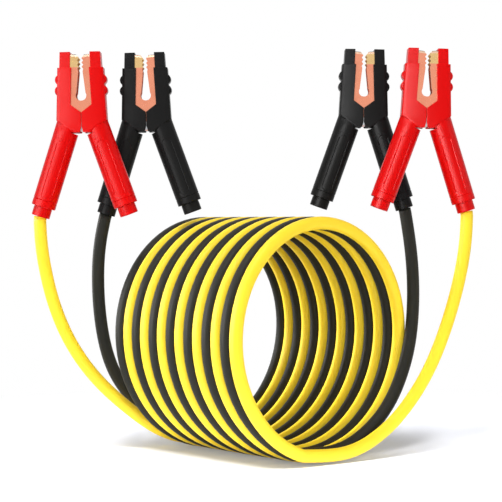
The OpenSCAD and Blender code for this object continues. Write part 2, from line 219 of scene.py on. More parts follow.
def sweep(name, line, radius, sides, floor=None):
    # A tube along a line, its rings carried on without twist, with its lay stored for the sheath's grain;
    # where it would sink below the floor it is flat
    verts, faces, lay = [], [], []
    along = 0.0
    direction = (line[1] - line[0]).normalized()
    side = direction.orthogonal().normalized()
    for i, centre in enumerate(line):
        ahead = line[min(i + 1, len(line) - 1)] - line[max(i - 1, 0)]
        direction = ahead.normalized()
        side = (side - side.dot(direction) * direction).normalized()
        other = direction.cross(side)
        if i:
            along += (centre - line[i - 1]).length
        for k in range(sides):
            a = 2 * math.pi * k / sides
            p = centre + radius * (math.cos(a) * side + math.sin(a) * other)
            if floor is not None and p.z < floor:
                p.z = floor
            verts.append(p)
            lay.append((math.cos(a), math.sin(a), along))
    for i in range(len(line) - 1):
        for k in range(sides):
            a, b = i * sides + k, i * sides + (k + 1) % sides
            faces.append((a, a + sides, b + sides, b))
    faces.append(tuple(range(sides)))
    faces.append(tuple(reversed(range((len(line) - 1) * sides, len(line) * sides))))
    mesh = bpy.data.meshes.new(name)
    mesh.from_pydata(verts, [], faces)
    stored = mesh.attributes.new("lay", "FLOAT_VECTOR", "POINT")
    for i, value in enumerate(lay):
        stored.data[i].vector = value
    mesh.polygons.foreach_set("use_smooth", [len(p.vertices) == 4 for p in mesh.polygons])
    return mesh


def setPiece(name, mesh, body, material, slot, *nodes):
    # A visible piece on its body, in place of the nodes that it dresses
    piece = bpy.data.objects.new(name, mesh)
    bpy.context.scene.collection.objects.link(piece)
    if material:
        mesh.materials.clear()
        mesh.materials.append(material)
    if body:
        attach(piece, body)
    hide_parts(*nodes)
    return piece


def lengthOf(line):
    return sum((b - a).length for a, b in zip(line, line[1:]))


def addCable(colour, strand, startClamp, endClamp):
    line = cableLine(strand, startClamp, endClamp)
    mesh = sweep(colour + "_cable", line, cable["diameter"] / 2, cable["sides"], floor=0.0)
    nodes = [colour + suffix for suffix in ("_coil", "_left_lead", "_right_lead")]
    piece = setPiece(colour + "_cable", mesh, "cable_set", None, colour + "_sheath", *nodes)
    round(lengthOf(line), 2)
    print(colour, "cable", round(lengthOf(line), 3), "m")
    return piece


yellowCable = addCable("yellow", 0, "red_right", "red_left")
blackCable = addCable("black", 1, "black_right", "black_left")
print("cables laid")


class Signal:
    # A node's output; values can be added, subtracted and scaled like numbers
    def __init__(self, paint, socket):
        self.paint = paint
        self.socket = socket

    def maths(self, operation, first, second):
        return self.paint.node("ShaderNodeMath", {"operation": operation}, {0: first, 1: second})

    def __add__(self, other):
        return self.maths("ADD", self, other)

    def __sub__(self, other):
        return self.maths("SUBTRACT", self, other)

    def __mul__(self, other):
        return self.maths("MULTIPLY", self, other)

    def __rsub__(self, other):
        return self.maths("SUBTRACT", other, self)

    __radd__ = __add__
    __rmul__ = __mul__


class Paint:
    # The nodes of a material, or of the world
    def __init__(self, owner):
        owner.use_nodes = True
        self.owner = owner
        self.nodes = owner.node_tree.nodes
        self.links = owner.node_tree.links
        self.nodes.clear()

    def node(self, kind, settings=None, inputs=None, output=0):
        made = self.nodes.new(kind)
        for key, value in (settings or {}).items():
            setattr(made, key, value)
        for key, value in (inputs or {}).items():
            socket = made.inputs[key]
            if isinstance(value, Signal):
                self.links.new(value.socket, socket)
            elif hasattr(value, "__len__") and len(value) < len(socket.default_value):
                socket.default_value = (*value, 1)
            else:
                socket.default_value = value
        return Signal(self, made.outputs[output])

    def spot(self, scale=(1, 1, 1)):
        # Where on the piece, stretched to a scale
        where = self.node("ShaderNodeTexCoord", output="Object")
        return self.node("ShaderNodeMapping", {}, {"Vector": where, "Scale": scale})

    def lay(self, scale):
        # Where round and along a cable
        where = self.node("ShaderNodeAttribute", {"attribute_name": "lay"}, output="Vector")
        return self.node("ShaderNodeMapping", {}, {"Vector": where, "Scale": scale})

    def stored(self, name):
        return self.node("ShaderNodeAttribute", {"attribute_name": name}, output="Fac")

    def noise(self, where, scale, detail=3.0, roughness=0.5):
        inputs = {"Vector": where, "Scale": scale, "Detail": detail, "Roughness": roughness}
        return self.node("ShaderNodeTexNoise", {}, inputs, "Fac")

    def band(self, value, low, high):
        # 0 below low, 1 above high, smooth between
        inputs = {"Value": value, "From Min": low, "From Max": high}
        return self.node("ShaderNodeMapRange", {"interpolation_type": "SMOOTHSTEP"}, inputs)

    def mix(self, share, first, second):
        return self.node("ShaderNodeMix", {"data_type": "RGBA"}, {0: share, 6: first, 7: second}, 2)

    def bump(self, height, distance, strength=1.0):
        inputs = {"Height": height, "Distance": distance, "Strength": strength}
        return self.node("ShaderNodeBump", {}, inputs)

    def seen(self):
        # 1 for what the camera sees, straight or in a reflection, and 0 for what only lights
        rays = ("Is Camera Ray", "Is Glossy Ray", "Is Transmission Ray")
        return sum(self.node("ShaderNodeLightPath", output=ray) for ray in rays)

    def white(self, kind, strength):
        return self.node(kind, {}, {"Color": (1, 1, 1), "Strength": strength})

    def surface(self, inputs):
        return self.finish(self.node("ShaderNodeBsdfPrincipled", {}, inputs))

    def finish(self, shader, kind="ShaderNodeOutputMaterial"):
        self.links.new(shader.socket, self.nodes.new(kind).inputs["Surface"])
        return self.owner


def newMaterial(name):
    return Paint(bpy.data.materials.new(name))


plastics = {
    "red": {"base": (0.68, 0.0015, 0.0015), "deep": (0.61, 0.0015, 0.0015), "rough": 0.28, "gloss": 0.11},
    "black": {"base": (0.012, 0.012, 0.012), "deep": (0.009, 0.009, 0.009), "rough": 0.30, "gloss": 0.05},
}


def mouldedPlastic(name, look):
    paint = newMaterial(name)
    flow = paint.noise(paint.spot((1, 1, 0.35)), 28, 4)  # faint flow marks along the mould
    grain = paint.noise(paint.spot(), 1900, 2, 0.6)  # fine spark-eroded grain
    handling = paint.band(paint.noise(paint.spot(), 60, 5, 0.65), 0.48, 0.72)  # patches dulled by hands
    return paint.surface({
        "Base Color": paint.mix(flow, look["deep"], look["base"]),
        "Roughness": look["rough"] + 0.05 * flow + 0.08 * handling,
        "Specular IOR Level": look["gloss"],
        "Normal": paint.bump(grain * 0.6 + flow * 0.4, 0.00003, 0.5),
    })


sheaths = {
    "yellow": {"base": (1.0, 0.75, 0.042), "deep": (0.98, 0.68, 0.026), "rough": 0.40, "gloss": 0.22},
    "black": {"base": (0.023, 0.023, 0.019), "deep": (0.015, 0.015, 0.012), "rough": 0.44, "gloss": 0.13},
}


def cableSheath(name, look):
    paint = newMaterial(name)
    drawn = paint.noise(paint.lay((22, 22, 1.5)), 1.0, 3)  # lines drawn along the cable by the die
    cloud = paint.noise(paint.spot(), 35, 4)  # uneven colour of the rubber
    scuff = paint.band(paint.noise(paint.lay((3, 3, 60)), 1.0, 5, 0.7), 0.60, 0.75)  # marks across it
    return paint.surface({
        "Base Color": paint.mix(cloud * 0.7 + drawn * 0.3, look["deep"], look["base"]),
        "Roughness": look["rough"] + 0.08 * drawn + 0.10 * scuff,
        "Specular IOR Level": look["gloss"],
        "Normal": paint.bump(drawn * 0.7 + cloud * 0.3, 0.00006, 0.5),
    })


metals = {
    "copper": {"base": (0.88, 0.335, 0.205), "deep": (0.79, 0.27, 0.16), "rough": 0.24},
    "brass": {"base": (0.80, 0.54, 0.24), "deep": (0.72, 0.46, 0.19), "rough": 0.24},
    "steel": {"base": (0.62, 0.63, 0.65), "deep": (0.45, 0.46, 0.48), "rough": 0.30},
    "sheared": (0.12, 0.10, 0.085),  # dull where the sheet was cut
    "paintedLipHighlight": (0.80, 0.53, 0.38),  # painted highlight on the jaws' lip, paler than the plating, for light caught by the bent lip
}


def sheetMetal(name, look):
    paint = newMaterial(name)
    rolled = paint.noise(paint.spot((40, 40, 1)), 60, 3)  # rolling marks run up the jaw
    tarnish = paint.band(paint.noise(paint.spot(), 90, 5, 0.6), 0.45, 0.75)
    edge = paint.stored("sheared")
    plated = paint.mix(tarnish * 0.6 + rolled * 0.2, look["base"], look["deep"])
    plated = paint.mix(paint.band(edge, 0.2, 0.8), plated, metals["sheared"])
    return paint.surface({
        # the lip's top faces are painted paler: a painted highlight where the bent lip catches the light
        "Base Color": paint.mix(paint.band(0 - edge, 0.2, 0.8), plated, metals["paintedLipHighlight"]),
        "Metallic": 1.0 - 0.8 * paint.band(edge, 0.2, 0.8),
        "Roughness": look["rough"] + 0.04 * rolled + 0.06 * tarnish,
        "Normal": paint.bump(rolled, 0.00002, 0.4),
    })


def strandedWire(name, look):
    paint = newMaterial(name)
    strands = paint.node("ShaderNodeTexWave", {"bands_direction": "DIAGONAL"},
                         {"Vector": paint.spot(), "Scale": 500.0, "Distortion": 0.3}, "Fac")
    return paint.surface({
        "Base Color": paint.mix(strands, look["deep"], look["base"]),
        "Metallic": 1.0,
        "Roughness": 0.25 + 0.15 * strands,
        "Normal": paint.bump(strands, 0.0003, 0.8),
    })


finishes = {
    "red": mouldedPlastic("red_moulding", plastics["red"]),
    "black": mouldedPlastic("black_moulding", plastics["black"]),
    "yellowSheath": cableSheath("yellow_sheathing", sheaths["yellow"]),
    "blackSheath": cableSheath("black_sheathing", sheaths["black"]),
    "copper": sheetMetal("copper_plating", metals["copper"]),
    "brass": sheetMetal("brass_sheet", metals["brass"]),
    "steel": sheetMetal("zinc_plated_steel", metals["steel"]),
    "wire": strandedWire("stranded_copper", metals["copper"]),
}
yellowCable.data.materials.append(finishes["yellowSheath"])
blackCable.data.materials.append(finishes["blackSheath"])
print("materials mixed")


# From here to the clamps' places everything is in millimetres
through = 30  # deep enough for a cut through the whole clamp


def objectOf(mesh):
    made = bpy.data.objects.new(mesh.name, mesh)
    bpy.context.scene.collection.objects.link(made)
    return made


def settled(made):
    # The mesh with its modifiers worked in; the working object goes
    bpy.context.view_layer.update()
    shown = made.evaluated_get(bpy.context.evaluated_depsgraph_get())
    mesh = bpy.data.meshes.new_from_object(shown)
    bpy.data.objects.remove(made)
    return mesh


def prism(outline, depth, rounding=None, corners=0.3, segments=4):
    # An outline in the front view given depth; rounding is the radius of each outline edge, front and
    # back, and corners that of the edges that run from front to back
    count = len(outline)
    verts = [Vector((x, y, z)) for y in (-depth / 2, depth / 2) for x, z in outline]
    faces = [tuple(range(count)), tuple(reversed(range(count, 2 * count)))]
    faces += [(i, i + count, (i + 1) % count + count, (i + 1) % count) for i in range(count)]
    mesh = bpy.data.meshes.new("prism")
    mesh.from_pydata(verts, [], faces)
    if sum((b[0] - a[0]) * (b[1] + a[1]) for a, b in zip(outline, outline[1:] + outline[:1])) > 0:
        mesh.flip_normals()
    if rounding is None:
        return mesh
    radii = rounding if hasattr(rounding, "__len__") else [rounding] * count
    largest = max(*radii, corners)
    weight = mesh.attributes.new("bevel_weight_edge", "FLOAT", "EDGE")
    for edge in mesh.edges:
        a, b = sorted(edge.vertices)
        if b - a == count:
            weight.data[edge.index].value = corners / largest
        else:
            first, second = a % count, b % count
            at = first if second == first + 1 else second
            weight.data[edge.index].value = radii[at] / largest
    made = objectOf(mesh)
    bevel = made.modifiers.new("round", "BEVEL")
    bevel.width = largest
    bevel.segments = segments
    bevel.limit_method = "WEIGHT"
    bevel.use_clamp_overlap = False
    return settled(made)


def skinned(verts, sides, closed=False):
    # A skin over rings of points; closed joins the last ring to the first, otherwise the ends are capped
    rows = len(verts) // sides
    faces = []
    for i in range(rows if closed else rows - 1):
        for k in range(sides):
            a, b = i * sides + k, i * sides + (k + 1) % sides
            c, d = (i + 1) % rows * sides + (k + 1) % sides, (i + 1) % rows * sides + k
            faces.append((a, b, c, d))
    if not closed:
        faces.append(tuple(reversed(range(sides))))
        faces.append(tuple(range((rows - 1) * sides, rows * sides)))
    mesh = bpy.data.meshes.new("skin")
    mesh.from_pydata(verts, [], faces)
    return mesh


def lathe(profile, sides=72, closed=False):
    # A profile of (height, radius) turned round Z
    verts = []
    for height, radius in profile:
        for k in range(sides):
            a = 2 * math.pi * k / sides
            verts.append(Vector((radius * math.cos(a), radius * math.sin(a), height)))
    return skinned(verts, sides, closed)


def quarterTurn(steps):
    return [math.pi / 2 * i / steps for i in range(steps + 1)]


def outward(mesh):
    # Faces turned to look outward
    work = bmesh.new()
    work.from_mesh(mesh)
    bmesh.ops.recalc_face_normals(work, faces=work.faces)
    work.to_mesh(mesh)
    work.free()
    return mesh


def bar(x, z, radius, depth, rounding=0.0, sides=64):
    # A round bar along the hinge, its ends rounded over
    ease = [(0.0, 0.0)]
    if rounding:
        ease = [(rounding * (1 - math.cos(t)), rounding * (1 - math.sin(t))) for t in quarterTurn(5)]
    profile = [(-depth / 2 + a, radius - b) for a, b in ease]
    profile += [(depth / 2 - a, radius - b) for a, b in reversed(ease)]
    mesh = lathe(profile, sides)
    mesh.transform(Matrix.Translation((x, 0, z)) @ Matrix.Rotation(math.pi / 2, 4, "X"))
    return outward(mesh)


def onHandle(mesh):
    # Things turned about +Z land on the handle's axis, running down from the body's bottom edge
    turn = Matrix.Rotation(math.pi - math.radians(handle["angle"]), 4, "Y")
    mesh.transform(Matrix.Translation((handle["x"], 0, handle["z"])) @ turn)
    return outward(mesh)


def combined(first, others, operation):
    made = objectOf(first)
    tools = [objectOf(mesh) for mesh in others]
    for tool in tools:
        step = made.modifiers.new("join", "BOOLEAN")
        step.operation = operation
        step.solver = "MANIFOLD"
        step.object = tool
    mesh = settled(made)
    for tool in tools:
        bpy.data.objects.remove(tool)
    return mesh


def finished(mesh, angle, rounding=0.0, flatSides=False):
    # Eases sharp edges where asked, then shades by angle; sheet metal keeps its front and back quite flat
    made = objectOf(mesh)
    if rounding:
        bevel = made.modifiers.new("ease", "BEVEL")
        bevel.width = rounding
        bevel.segments = 2
        bevel.limit_method = "ANGLE"
        bevel.angle_limit = math.radians(40)
    mesh = settled(made)
    mesh.polygons.foreach_set("use_smooth", [True] * len(mesh.polygons))
    mesh.set_sharp_from_angle(angle=math.radians(angle))
    if flatSides:
        rounded = [abs(face.normal.y) < 0.999 for face in mesh.polygons]
        mesh.polygons.foreach_set("use_smooth", rounded)
        return mesh
    made = objectOf(mesh)
    normals = made.modifiers.new("normals", "WEIGHTED_NORMAL")
    normals.keep_sharp = True
    return settled(made)


def arc(x, z, radius, start, end, steps):
    # Points from one angle in degrees to another
    return [(x + radius * math.cos(math.radians(a)), z + radius * math.sin(math.radians(a)))
            for a in [start + (end - start) * i / steps for i in range(steps + 1)]]


cover = {  # widths and heights are from the hinge
    "depth": 23.6, "seam": 0.2, "seamTop": 13.3, "chin": 8.4, "bottom": -5.5, "notch": 14.5,
    "top": 55.3, "topWidth": 21.5, "lowWidth": 23.6, "low": 6.2,
    "windowTop": 8.3, "windowLow": 9.8, "windowBottom": 20.4,
    "edge": 3.0, "shoulder": 2.2, "crisp": 0.45,
    "crown": 2.6, "crownFrom": 8.0, "crownFull": 6.5, "crownStep": 2, "crownCuts": (10, 6),
    "tipTop": 70.0, "tipDepth": 20.4, "tipOutTop": 18.9, "tipOutLow": 19.7, "tipInTop": 9.1,
    "tipInLow": 9.6, "tipSunk": 2,
    "bumps": [(19.1, 44.2), (19.5, 33.9)], "bumpRadius": 5.25, "bumpDepth": 14.0, "bumpEase": 1.4,
}
cavity = {  # the room inside a moulded half for its jaw, the jaw's hub and the jaw's tongue
    "depth": 17.6, "play": 0.1, "past": 1.0, "foot": 12.0, "rise": 6.0, "step": 24.0, "wall": 11.0,
    "slotLow": 10.0, "tongue": [(12, -6), (22.2, -6), (21.2, 8), (12, 8)], "tonguePlay": 0.6,
    "hub": 7.5, "eye": 4.6, "eyeDepth": 19.6, "wedgeFrom": -4.0,
}
jawSheet = {
    "thick": 1.2, "outerHalf": 8.5, "innerHalf": 7.0, "top": 68.3, "low": 8.0, "backTop": 16.6,
    "slope": 0.0544, "dropRadius": 4.9, "dropAt": 29.2, "dropArc": (30, -90, 24), "mouth": (4.2, 31.7),
    "neck": (2.0, 51.7), "toothGap": 2.8, "toothDepth": 1.2, "toothPitch": 4.0, "toothTop": 66.0,
    "teeth": 3, "toothFlat": 0.2, "toothEase": (0.1, 0.5), "rootEase": (0.2, 0.6), "topCorner": 0.9,
    "topSteps": 8, "topSag": 1.1, "lobe": (1.0, 12.0, 13.0), "ear": 4.4, "pin": 2.5, "pinPlay": 0.05,
    "plateLow": 55.6, "plateBack": 15.0, "tongueWidth": 10.0, "tongueIn": 4.9, "tongueFrom": -3.5,
    "tongueTo": 47.0, "webFoot": -0.4, "ease": 0.3, "lipHeight": 2.3, "lipLean": 0.6, "lipEdge": 0.5,
    "lipReach": 22.0,
}
grip = {  # panelHalf, panelTurn and panelStep are in degrees round the handle
    "radius": 11.5, "bore": 8.4, "start": -10.0, "boreStart": -12.0, "cutAt": -1.5,
    "ringAt": 6.0, "topRingDepth": 0.12, "endRingAt": 66.3, "endRingDepth": 0.4, "ringWidth": 0.8,
    "panelFrom": 8.2, "panelTo": 64.6, "panelHalf": 25.0, "panelTurn": 5.0, "panelDepth": 0.15,
    "lineDepth": 0.30, "panelStep": 2.4, "panelRound": 3.0, "panelSoft": (-0.3, 0.5), "endEase": 0.6,
    "columns": 120, "columnGap": 1.2, "ringRows": (-0.4, -0.22, 0.0, 0.22, 0.4),
    "panelRows": (-0.4, -4.0), "panelRowStep": 0.5, "panelRowCount": 10,
    "plainRows": (-7.5, -5.0, -2.0, 1.0, 3.5, *range(16, 57, 5), 68.5, 70.5),
}


def jawBack(z):
    return jawSheet["backTop"] + (cover["tipTop"] - z) * jawSheet["slope"]


def smoothStep(low, high, value):
    t = min(1.0, max(0.0, (value - low) / (high - low)))
    return t * t * (3 - 2 * t)


def panelShare(angle, along):
    # How far a point of the handle lies within the sunk finger panel, 0 to 1
    half, step = grip["panelHalf"], grip["panelStep"]
    off = abs(angle)
    curve = grip["panelRound"] * (off / half) * (off / half)
    ends = smoothStep(*grip["panelSoft"], along - grip["panelFrom"] - curve)
    ends *= smoothStep(*grip["panelSoft"], grip["panelTo"] - curve - along)
    return ends * (1 - smoothStep(half - step, half + step, off))


def handleTube():
    radius, ease, end = grip["radius"], grip["endEase"], handle["length"]
    turn = grip["panelTurn"]
    centres = [-90 + turn, 90 - turn]  # one panel to the front, one to the back
    fine = [grip["panelStep"] * k / 2 for k in (-2, -1, 0, 1, 2)]
    edges = [c + s * grip["panelHalf"] + f for c in centres for s in (-1, 1) for f in fine]
    angles = [360 * k / grip["columns"] - 180 for k in range(grip["columns"])]
    angles = sorted([a for a in angles if all(abs(a - e) > grip["columnGap"] for e in edges)] + edges)
    rows = [grip["start"], *grip["plainRows"], end - ease]
    rows += [at + r for at in (grip["ringAt"], grip["endRingAt"]) for r in grip["ringRows"]]
    panelEnds = zip((grip["panelFrom"], grip["panelTo"]), grip["panelRows"])
    steps = [grip["panelRowStep"] * i for i in range(grip["panelRowCount"])]
    rows += [at + r + step for at, r in panelEnds for step in steps]
    rings = ((grip["ringAt"], grip["topRingDepth"]), (grip["endRingAt"], grip["endRingDepth"]))
    profile = []
    for along in sorted(rows):
        cut = 0.0
        for at, depth in rings:
            cut += depth * (1 - smoothStep(0.0, grip["ringWidth"] / 2, abs(along - at)))
        profile.append((along, radius - cut))
    for t in quarterTurn(4)[1:]:
        profile.append((end - ease + ease * math.sin(t), radius - ease + ease * math.cos(t)))
    verts = []
    for along, r in profile:
        for angle in angles:
            share = max(panelShare(angle - c, along) for c in centres)
            a = math.radians(angle)
            dip = r - grip["panelDepth"] * share - grip["lineDepth"] * 4 * share * (1 - share)
            verts.append(Vector((dip * math.cos(a), dip * math.sin(a), along)))
    return onHandle(skinned(verts, len(angles)))


def coverBody():
    seam, bottom = cover["seam"], cover["bottom"]
    notch = seam - bottom * math.tan(math.radians(cover["notch"]))
    outline = [
        (seam, 0.0), (notch, bottom), (cover["chin"], bottom), (cover["lowWidth"], cover["low"]),
        (cover["topWidth"], cover["top"]), (cover["windowTop"], cover["top"]),
        (cover["windowLow"], cover["windowBottom"]), (seam, cover["seamTop"]),
    ]
    crisp = cover["crisp"]
    rounding = [crisp, crisp, cover["shoulder"], cover["edge"], crisp, crisp, crisp, crisp]
    return prism(outline, cover["depth"], rounding, corners=0.3, segments=6)


def crowned(mesh):
    # Front and back fall away from the middle of the clamp to its sides
    work = bmesh.new()
    work.from_mesh(mesh)
    near, low, step = cover["crownFrom"], cover["bottom"], cover["crownStep"]
    across, upward = cover["crownCuts"]
    cuts = [((step * k, 0, 0), (1, 0, 0)) for k in range(1, across + 1)]
    cuts += [((0, 0, low + step * k), (0, 0, 1)) for k in range(1, upward + 1)]
    for where, along in cuts:
        geometry = []
        for face in work.faces:
            centre = face.calc_center_median()
            if abs(centre.y) > near and centre.z > low - 0.1:
                geometry += [face, *face.edges, *face.verts]
        geometry = list(dict.fromkeys(geometry))
        bmesh.ops.bisect_plane(work, geom=geometry, dist=0.0001, plane_co=where, plane_no=along)
    for vert in work.verts:
        x, y, z = vert.co
        if abs(y) > near and z > low:
            fall = cover["crown"] * (x / cover["lowWidth"]) ** 2 * smoothStep(low, cover["crownFull"], z)
            share = 1 - fall / (cover["depth"] / 2 - near)
            vert.co.y = math.copysign(near + (abs(y) - near) * share, y)
    work.to_mesh(mesh)
    work.free()
    return mesh


def coverTip():
    low = cover["top"] - cover["tipSunk"]
    outline = [
        (cover["tipInLow"], low), (cover["tipOutLow"], low),
        (cover["tipOutTop"], cover["tipTop"]), (cover["tipInTop"], cover["tipTop"]),
    ]
    return prism(outline, cover["tipDepth"], cover["crisp"], corners=0.35)


def cavityTools(narrow):
    past, step, low, wall = -cavity["past"], cavity["step"], cavity["slotLow"], cavity["wall"]
    top = jawSheet["top"] + cavity["play"]
    room = [(past, 0), (cavity["foot"], 0), (jawBack(cavity["rise"]), cavity["rise"]), (jawBack(step), step)]
    room += [(wall, step), (wall, top)] if narrow else [(jawBack(top), top)]
    room += [(past, top)]
    slot = [(past, low), (jawBack(low), low), (jawBack(top), top), (past, top)]
    cut = handlePoint(grip["cutAt"])  # the handle's top edge stands free of the body's bottom edge
    slope = math.tan(math.radians(handle["angle"]))
    start, under = cavity["wedgeFrom"], cover["bottom"] - 0.001
    wedge = [(start, under), (cut.x - (cut.z - cover["bottom"]) / slope, under),
             (start, cut.z - (cut.x - start) * slope)]
    bore = lathe([(grip["boreStart"], grip["bore"]), (handle["length"] + 1, grip["bore"])], 64)
    return [
        prism(room, cavity["depth"]), prism(slot, 2 * jawSheet["innerHalf"] + cavity["play"]),
        prism(cavity["tongue"], jawSheet["tongueWidth"] + cavity["tonguePlay"]),
        bar(0, 0, cavity["hub"], cavity["depth"]), bar(0, 0, cavity["eye"], cavity["eyeDepth"]),
        onHandle(bore), prism(wedge, through),
    ]


def coverHalf(narrow):
    depth, ease = cover["bumpDepth"], cover["bumpEase"]
    bumps = [bar(x, z, cover["bumpRadius"], depth, ease) for x, z in cover["bumps"]]
    body = combined(coverBody(), [coverTip(), *bumps, handleTube()], "UNION")
    return finished(crowned(combined(body, cavityTools(narrow), "DIFFERENCE")), 35)


cableCover = coverHalf(False)
freeCover = coverHalf(True)
print("covers moulded", len(cableCover.polygons), len(freeCover.polygons))


collar = {  # what closes a handle: round the cable where it is open, otherwise a cap with a dished end
    "radius": 8.7, "foot": 8.45, "footLength": 0.8, "flare": 1.0, "ease": 0.5, "spigot": 8.35,
    "sunk": 10, "cableHole": 6.0, "dish": 6.2, "dishFlare": 0.4, "rim": 0.5,
}


def collarMesh(isOpen):
    start, end = handle["length"], handle["length"] + handle["collar"]
    ease, radius, foot, rim = collar["ease"], collar["radius"], collar["foot"], collar["rim"]
    hidden = start - collar["sunk"]
    outside = [(hidden, collar["spigot"]), (start, collar["spigot"]), (start, foot),
               (start + collar["footLength"], foot), (start + collar["flare"], radius)]
    outside += [(end - ease + ease * math.sin(t), radius - ease + ease * math.cos(t))
                for t in quarterTurn(4)]
    if isOpen:
        hole = collar["cableHole"]
        inside = [(end, hole + rim), (end - rim, hole), (hidden, hole)]
    else:
        dish = collar["dish"]
        inside = [(end, dish + collar["dishFlare"]), (end - rim, dish), (end - rim, 0.01)]
    return finished(onHandle(lathe(outside + inside, closed=isOpen)), 35)


cableCollar = collarMesh(True)
endCap = collarMesh(False)
print("collars turned")


def topEdge(x):
    # The jaw's top edge sags towards the middle
    inner = jawSheet["toothGap"] / 2
    share = (jawBack(jawSheet["top"]) - x) / (jawBack(jawSheet["top"]) - inner)
    return jawSheet["top"] - jawSheet["topSag"] * max(0.0, share) ** 2


def wallOutline():
    top, tip = jawSheet["top"], jawSheet["toothGap"] / 2
    root, pitch = tip + jawSheet["toothDepth"], jawSheet["toothPitch"]
    flat = jawSheet["toothFlat"]
    out, up = jawSheet["toothEase"]
    back, fall = jawSheet["rootEase"]
    outer, steps = jawBack(top), jawSheet["topSteps"]
    outline = []
    for i in range(steps + 1):
        x = outer + (root + jawSheet["topCorner"] - outer) * i / steps
        outline.append((x, topEdge(x)))
    outline.append((root + flat, jawSheet["toothTop"] + 0.1))
    for k in range(jawSheet["teeth"]):
        z = jawSheet["toothTop"] - (k + 0.5) * pitch
        valley = z - pitch / 2
        outline += [(tip + out, z + up), (tip, z + flat), (tip, z - flat), (tip + out, z - up)]
        outline += [(root - back, valley + fall), (root, valley), (root - back, valley - fall)]
    outline += [jawSheet["neck"], jawSheet["mouth"]]
    outline += arc(0, jawSheet["dropAt"], jawSheet["dropRadius"], *jawSheet["dropArc"])
    outline += [(0.0, jawSheet["low"]), (jawBack(jawSheet["low"]), jawSheet["low"])]
    return list(reversed(outline))


def jawMesh(half, hole):
    # Two walls joined by a back, with a tongue down the handle
    thick = jawSheet["thick"]
    x, z, lobe = jawSheet["lobe"]
    sides = []
    for s in (-1, 1):
        wall = prism(wallOutline(), thick)
        rounds = [bar(x, z, lobe, thick, sides=96), bar(0, 0, jawSheet["ear"], thick)]
        joined = combined(wall, rounds, "UNION")
        joined.transform(Matrix.Translation((0, s * (half - thick / 2), 0)))
        sides.append(joined)
    low, top = jawSheet["low"], jawSheet["top"]
    back = prism([(jawBack(low) - thick, low), (jawBack(low), low), (jawBack(top), top),
                  (jawBack(top) - thick, top)], 2 * half)
    foot = jawSheet["webFoot"]
    inward, end = jawSheet["tongueIn"], jawSheet["tongueTo"]
    inner, outer = handlePoint(end, inward), handlePoint(end, inward + thick)
    start = handlePoint(jawSheet["tongueFrom"], inward)
    tongue = prism([(jawBack(low + 1) - thick, low + 1), (start.x, start.z), (inner.x, inner.z),
                    (outer.x, outer.z), (jawBack(foot), foot), (jawBack(low + 1), low + 1)],
                   jawSheet["tongueWidth"])
    whole = combined(sides[0], [sides[1], back, tongue], "UNION")
    tools = [bar(0, 0, hole, through), bar(0, jawSheet["dropAt"], jawSheet["dropRadius"], through)]
    tools += [lipCut(half, s) for s in (-1, 1)]
    return combined(whole, tools, "DIFFERENCE")


def lipCut(half, side):
    # The jaw's faces lean in along the top as a pressed lip, and its very edge is broken off at a slant
    steps, clear, back = 8, 2, jawBack(jawSheet["top"])
    edge = jawSheet["lipEdge"]
    lean = half - jawSheet["lipLean"]
    verts, faces = [], []
    for i in range(steps + 1):
        x = jawSheet["lipReach"] * i / steps
        top = topEdge(max(x, jawSheet["toothGap"] / 2)) if x < back else jawSheet["top"]
        low = top - jawSheet["lipHeight"]
        section = [(half, low), (lean, top - edge), (lean - edge, top + 0.02), (lean - edge, top + clear),
                   (half + clear, top + clear), (half + clear, low)]
        verts += [Vector((x, side * y, z)) for y, z in section]
    count = len(section)
    for i in range(steps):
        for k in range(count):
            a, b = i * count + k, i * count + (k + 1) % count
            faces.append((a, a + count, b + count, b))
    faces += [tuple(range(count)), tuple(reversed(range(steps * count, (steps + 1) * count)))]
    mesh = bpy.data.meshes.new("lip")
    mesh.from_pydata(verts, [], faces)
    return outward(mesh)


def markEdges(mesh):
    # Stores where the sheet is sheared, 1, and where its lip gets a painted highlight, -1, for the plating
    stored = mesh.attributes.new("sheared", "FLOAT", "FACE")
    for face in mesh.polygons:
        centre, facing = face.center, abs(face.normal.y) > 0.85
        inside = abs(centre.x) < jawBack(centre.z) - jawSheet["thick"]
        # top faces of the lip, marked for the painted highlight
        if facing and centre.z > jawSheet["top"] - 4 and face.normal.z > 0.1:
            stored.data[face.index].value = -1.0
        elif not facing and inside and centre.z > jawSheet["low"]:
            stored.data[face.index].value = 1.0
    return mesh


def tipZone():
    # The end of the jaw that the brass plate takes the place of
    low, top, back = jawSheet["plateLow"], jawSheet["top"] + 1, jawSheet["plateBack"]
    return prism([(-1, low), (back, low), (back, top), (-1, top)], through)


def brassTip():
    # The cable-side jaw's toothed tip is a brass plate bent over the end of the jaw
    half, back, low, top = jawSheet["outerHalf"], jawSheet["plateBack"], jawSheet["plateLow"], jawSheet["top"]
    inner = back - jawSheet["thick"]
    teeth = combined(jawMesh(half, jawSheet["pin"]), [tipZone()], "INTERSECT")
    web = prism([(inner, low), (back, low), (back, top), (inner, top)], 2 * half)
    return combined(teeth, [web], "UNION")


def pressed(mesh):
    return markEdges(finished(mesh, 12, jawSheet["ease"], flatSides=True))


outerJaw = jawMesh(jawSheet["outerHalf"], jawSheet["pin"])
outerJaw = pressed(combined(outerJaw, [tipZone()], "DIFFERENCE"))
innerJaw = pressed(jawMesh(jawSheet["innerHalf"], jawSheet["pin"] + jawSheet["pinPlay"]))
brassPlate = pressed(brassTip())
print("jaws pressed", len(outerJaw.polygons), len(innerJaw.polygons), len(brassPlate.polygons))


spring = {  # drop is the legs' angle below level
    "radius": 3.75, "wire": 0.75, "pitch": 2.1, "curls": 4, "leg": 24.1, "legSteps": 12, "drop": 36.87,
    "ringsPerCurl": 32, "sides": 14,
}


